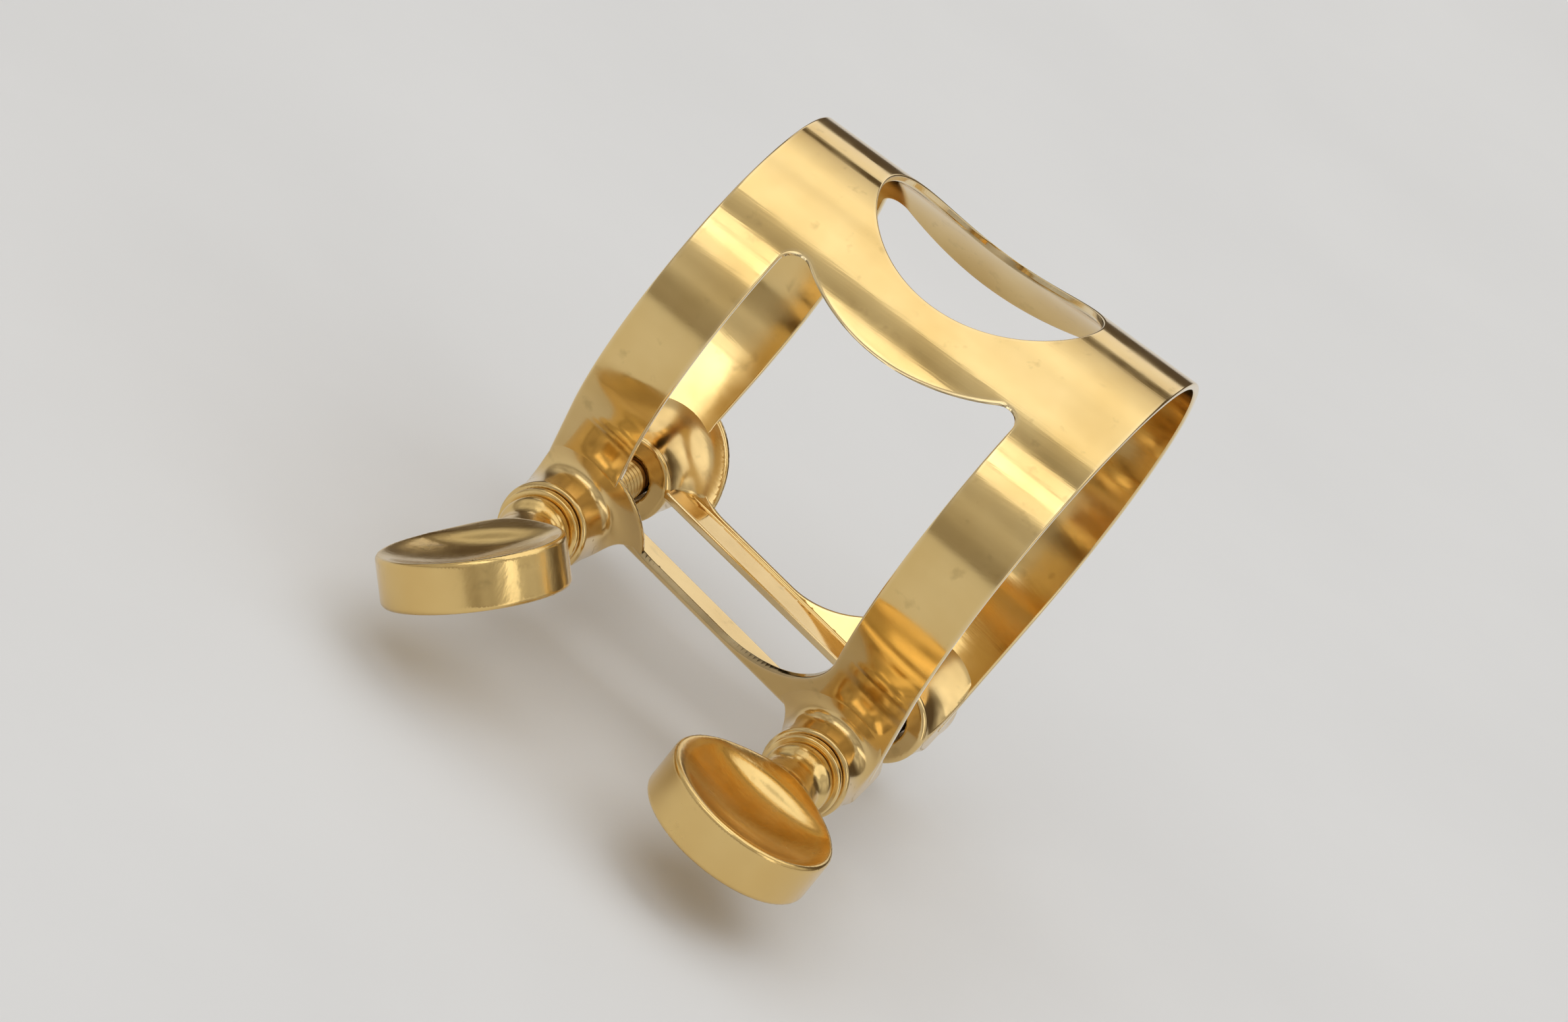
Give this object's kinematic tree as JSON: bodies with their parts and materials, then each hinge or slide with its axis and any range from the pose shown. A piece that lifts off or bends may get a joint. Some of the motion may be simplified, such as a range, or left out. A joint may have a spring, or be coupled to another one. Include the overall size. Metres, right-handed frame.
{
  "type": "saxophone ligature",
  "caption": "Tapered brass band with a round top opening and side windows, split underneath and drawn together by thumbscrews with round dished heads.",
  "frame": {"origin": "on the bore axis, midway between the two rims of the band", "axes": "+X along the bore toward the wide shank rim, -Y toward the thumbscrew heads, +Z toward the round opening opposite the reed"},
  "size_m": [0.0306, 0.0392, 0.032],
  "materials": {
    "band_brass": "polished and lacquered brass sheet",
    "post_brass": "polished and lacquered brass rod, soldered to the sheet",
    "washer_brass": "polished brass washer",
    "spindle_brass": "turned brass screw thread, unlacquered",
    "head_brass": "polished rim with satin-brushed dished faces, lacquered"
  },
  "bodies": {
    "band_assembly": {"band": "band_brass", "front_near_post": "post_brass", "front_far_post": "post_brass", "rear_near_post": "post_brass", "rear_far_post": "post_brass"},
    "front_washer_carrier": {"front_washer": "washer_brass"},
    "front_thumbscrew": {"front_screw_spindle": "spindle_brass", "front_screw_head": "head_brass"},
    "rear_washer_carrier": {"rear_washer": "washer_brass"},
    "rear_thumbscrew": {"rear_screw_spindle": "spindle_brass", "rear_screw_head": "head_brass"}
  },
  "joints": [
    {"name": "front_screw_travel", "type": "slide", "parent": "band_assembly", "child": "front_washer_carrier", "axis": [0, -1, 0], "range_m": [0, 0.0046]},
    {"name": "front_screw_turn", "type": "hinge", "parent": "front_washer_carrier", "child": "front_thumbscrew", "pos_m": [-0.0102, 0, -0.0139], "axis": [0, -1, 0], "range_deg": [0, 3313]},
    {"name": "rear_screw_travel", "type": "slide", "parent": "band_assembly", "child": "rear_washer_carrier", "axis": [0, -1, 0], "range_m": [0, 0.0046]},
    {"name": "rear_screw_turn", "type": "hinge", "parent": "rear_washer_carrier", "child": "rear_thumbscrew", "pos_m": [0.0102, 0, -0.0152], "axis": [0, -1, 0], "range_deg": [0, 3313]}
  ],
  "couplings": [
    {"joint": "front_screw_turn", "follows": "front_screw_travel", "rad_per_m": 12566},
    {"joint": "rear_screw_turn", "follows": "rear_screw_travel", "rad_per_m": 12566}
  ]
}
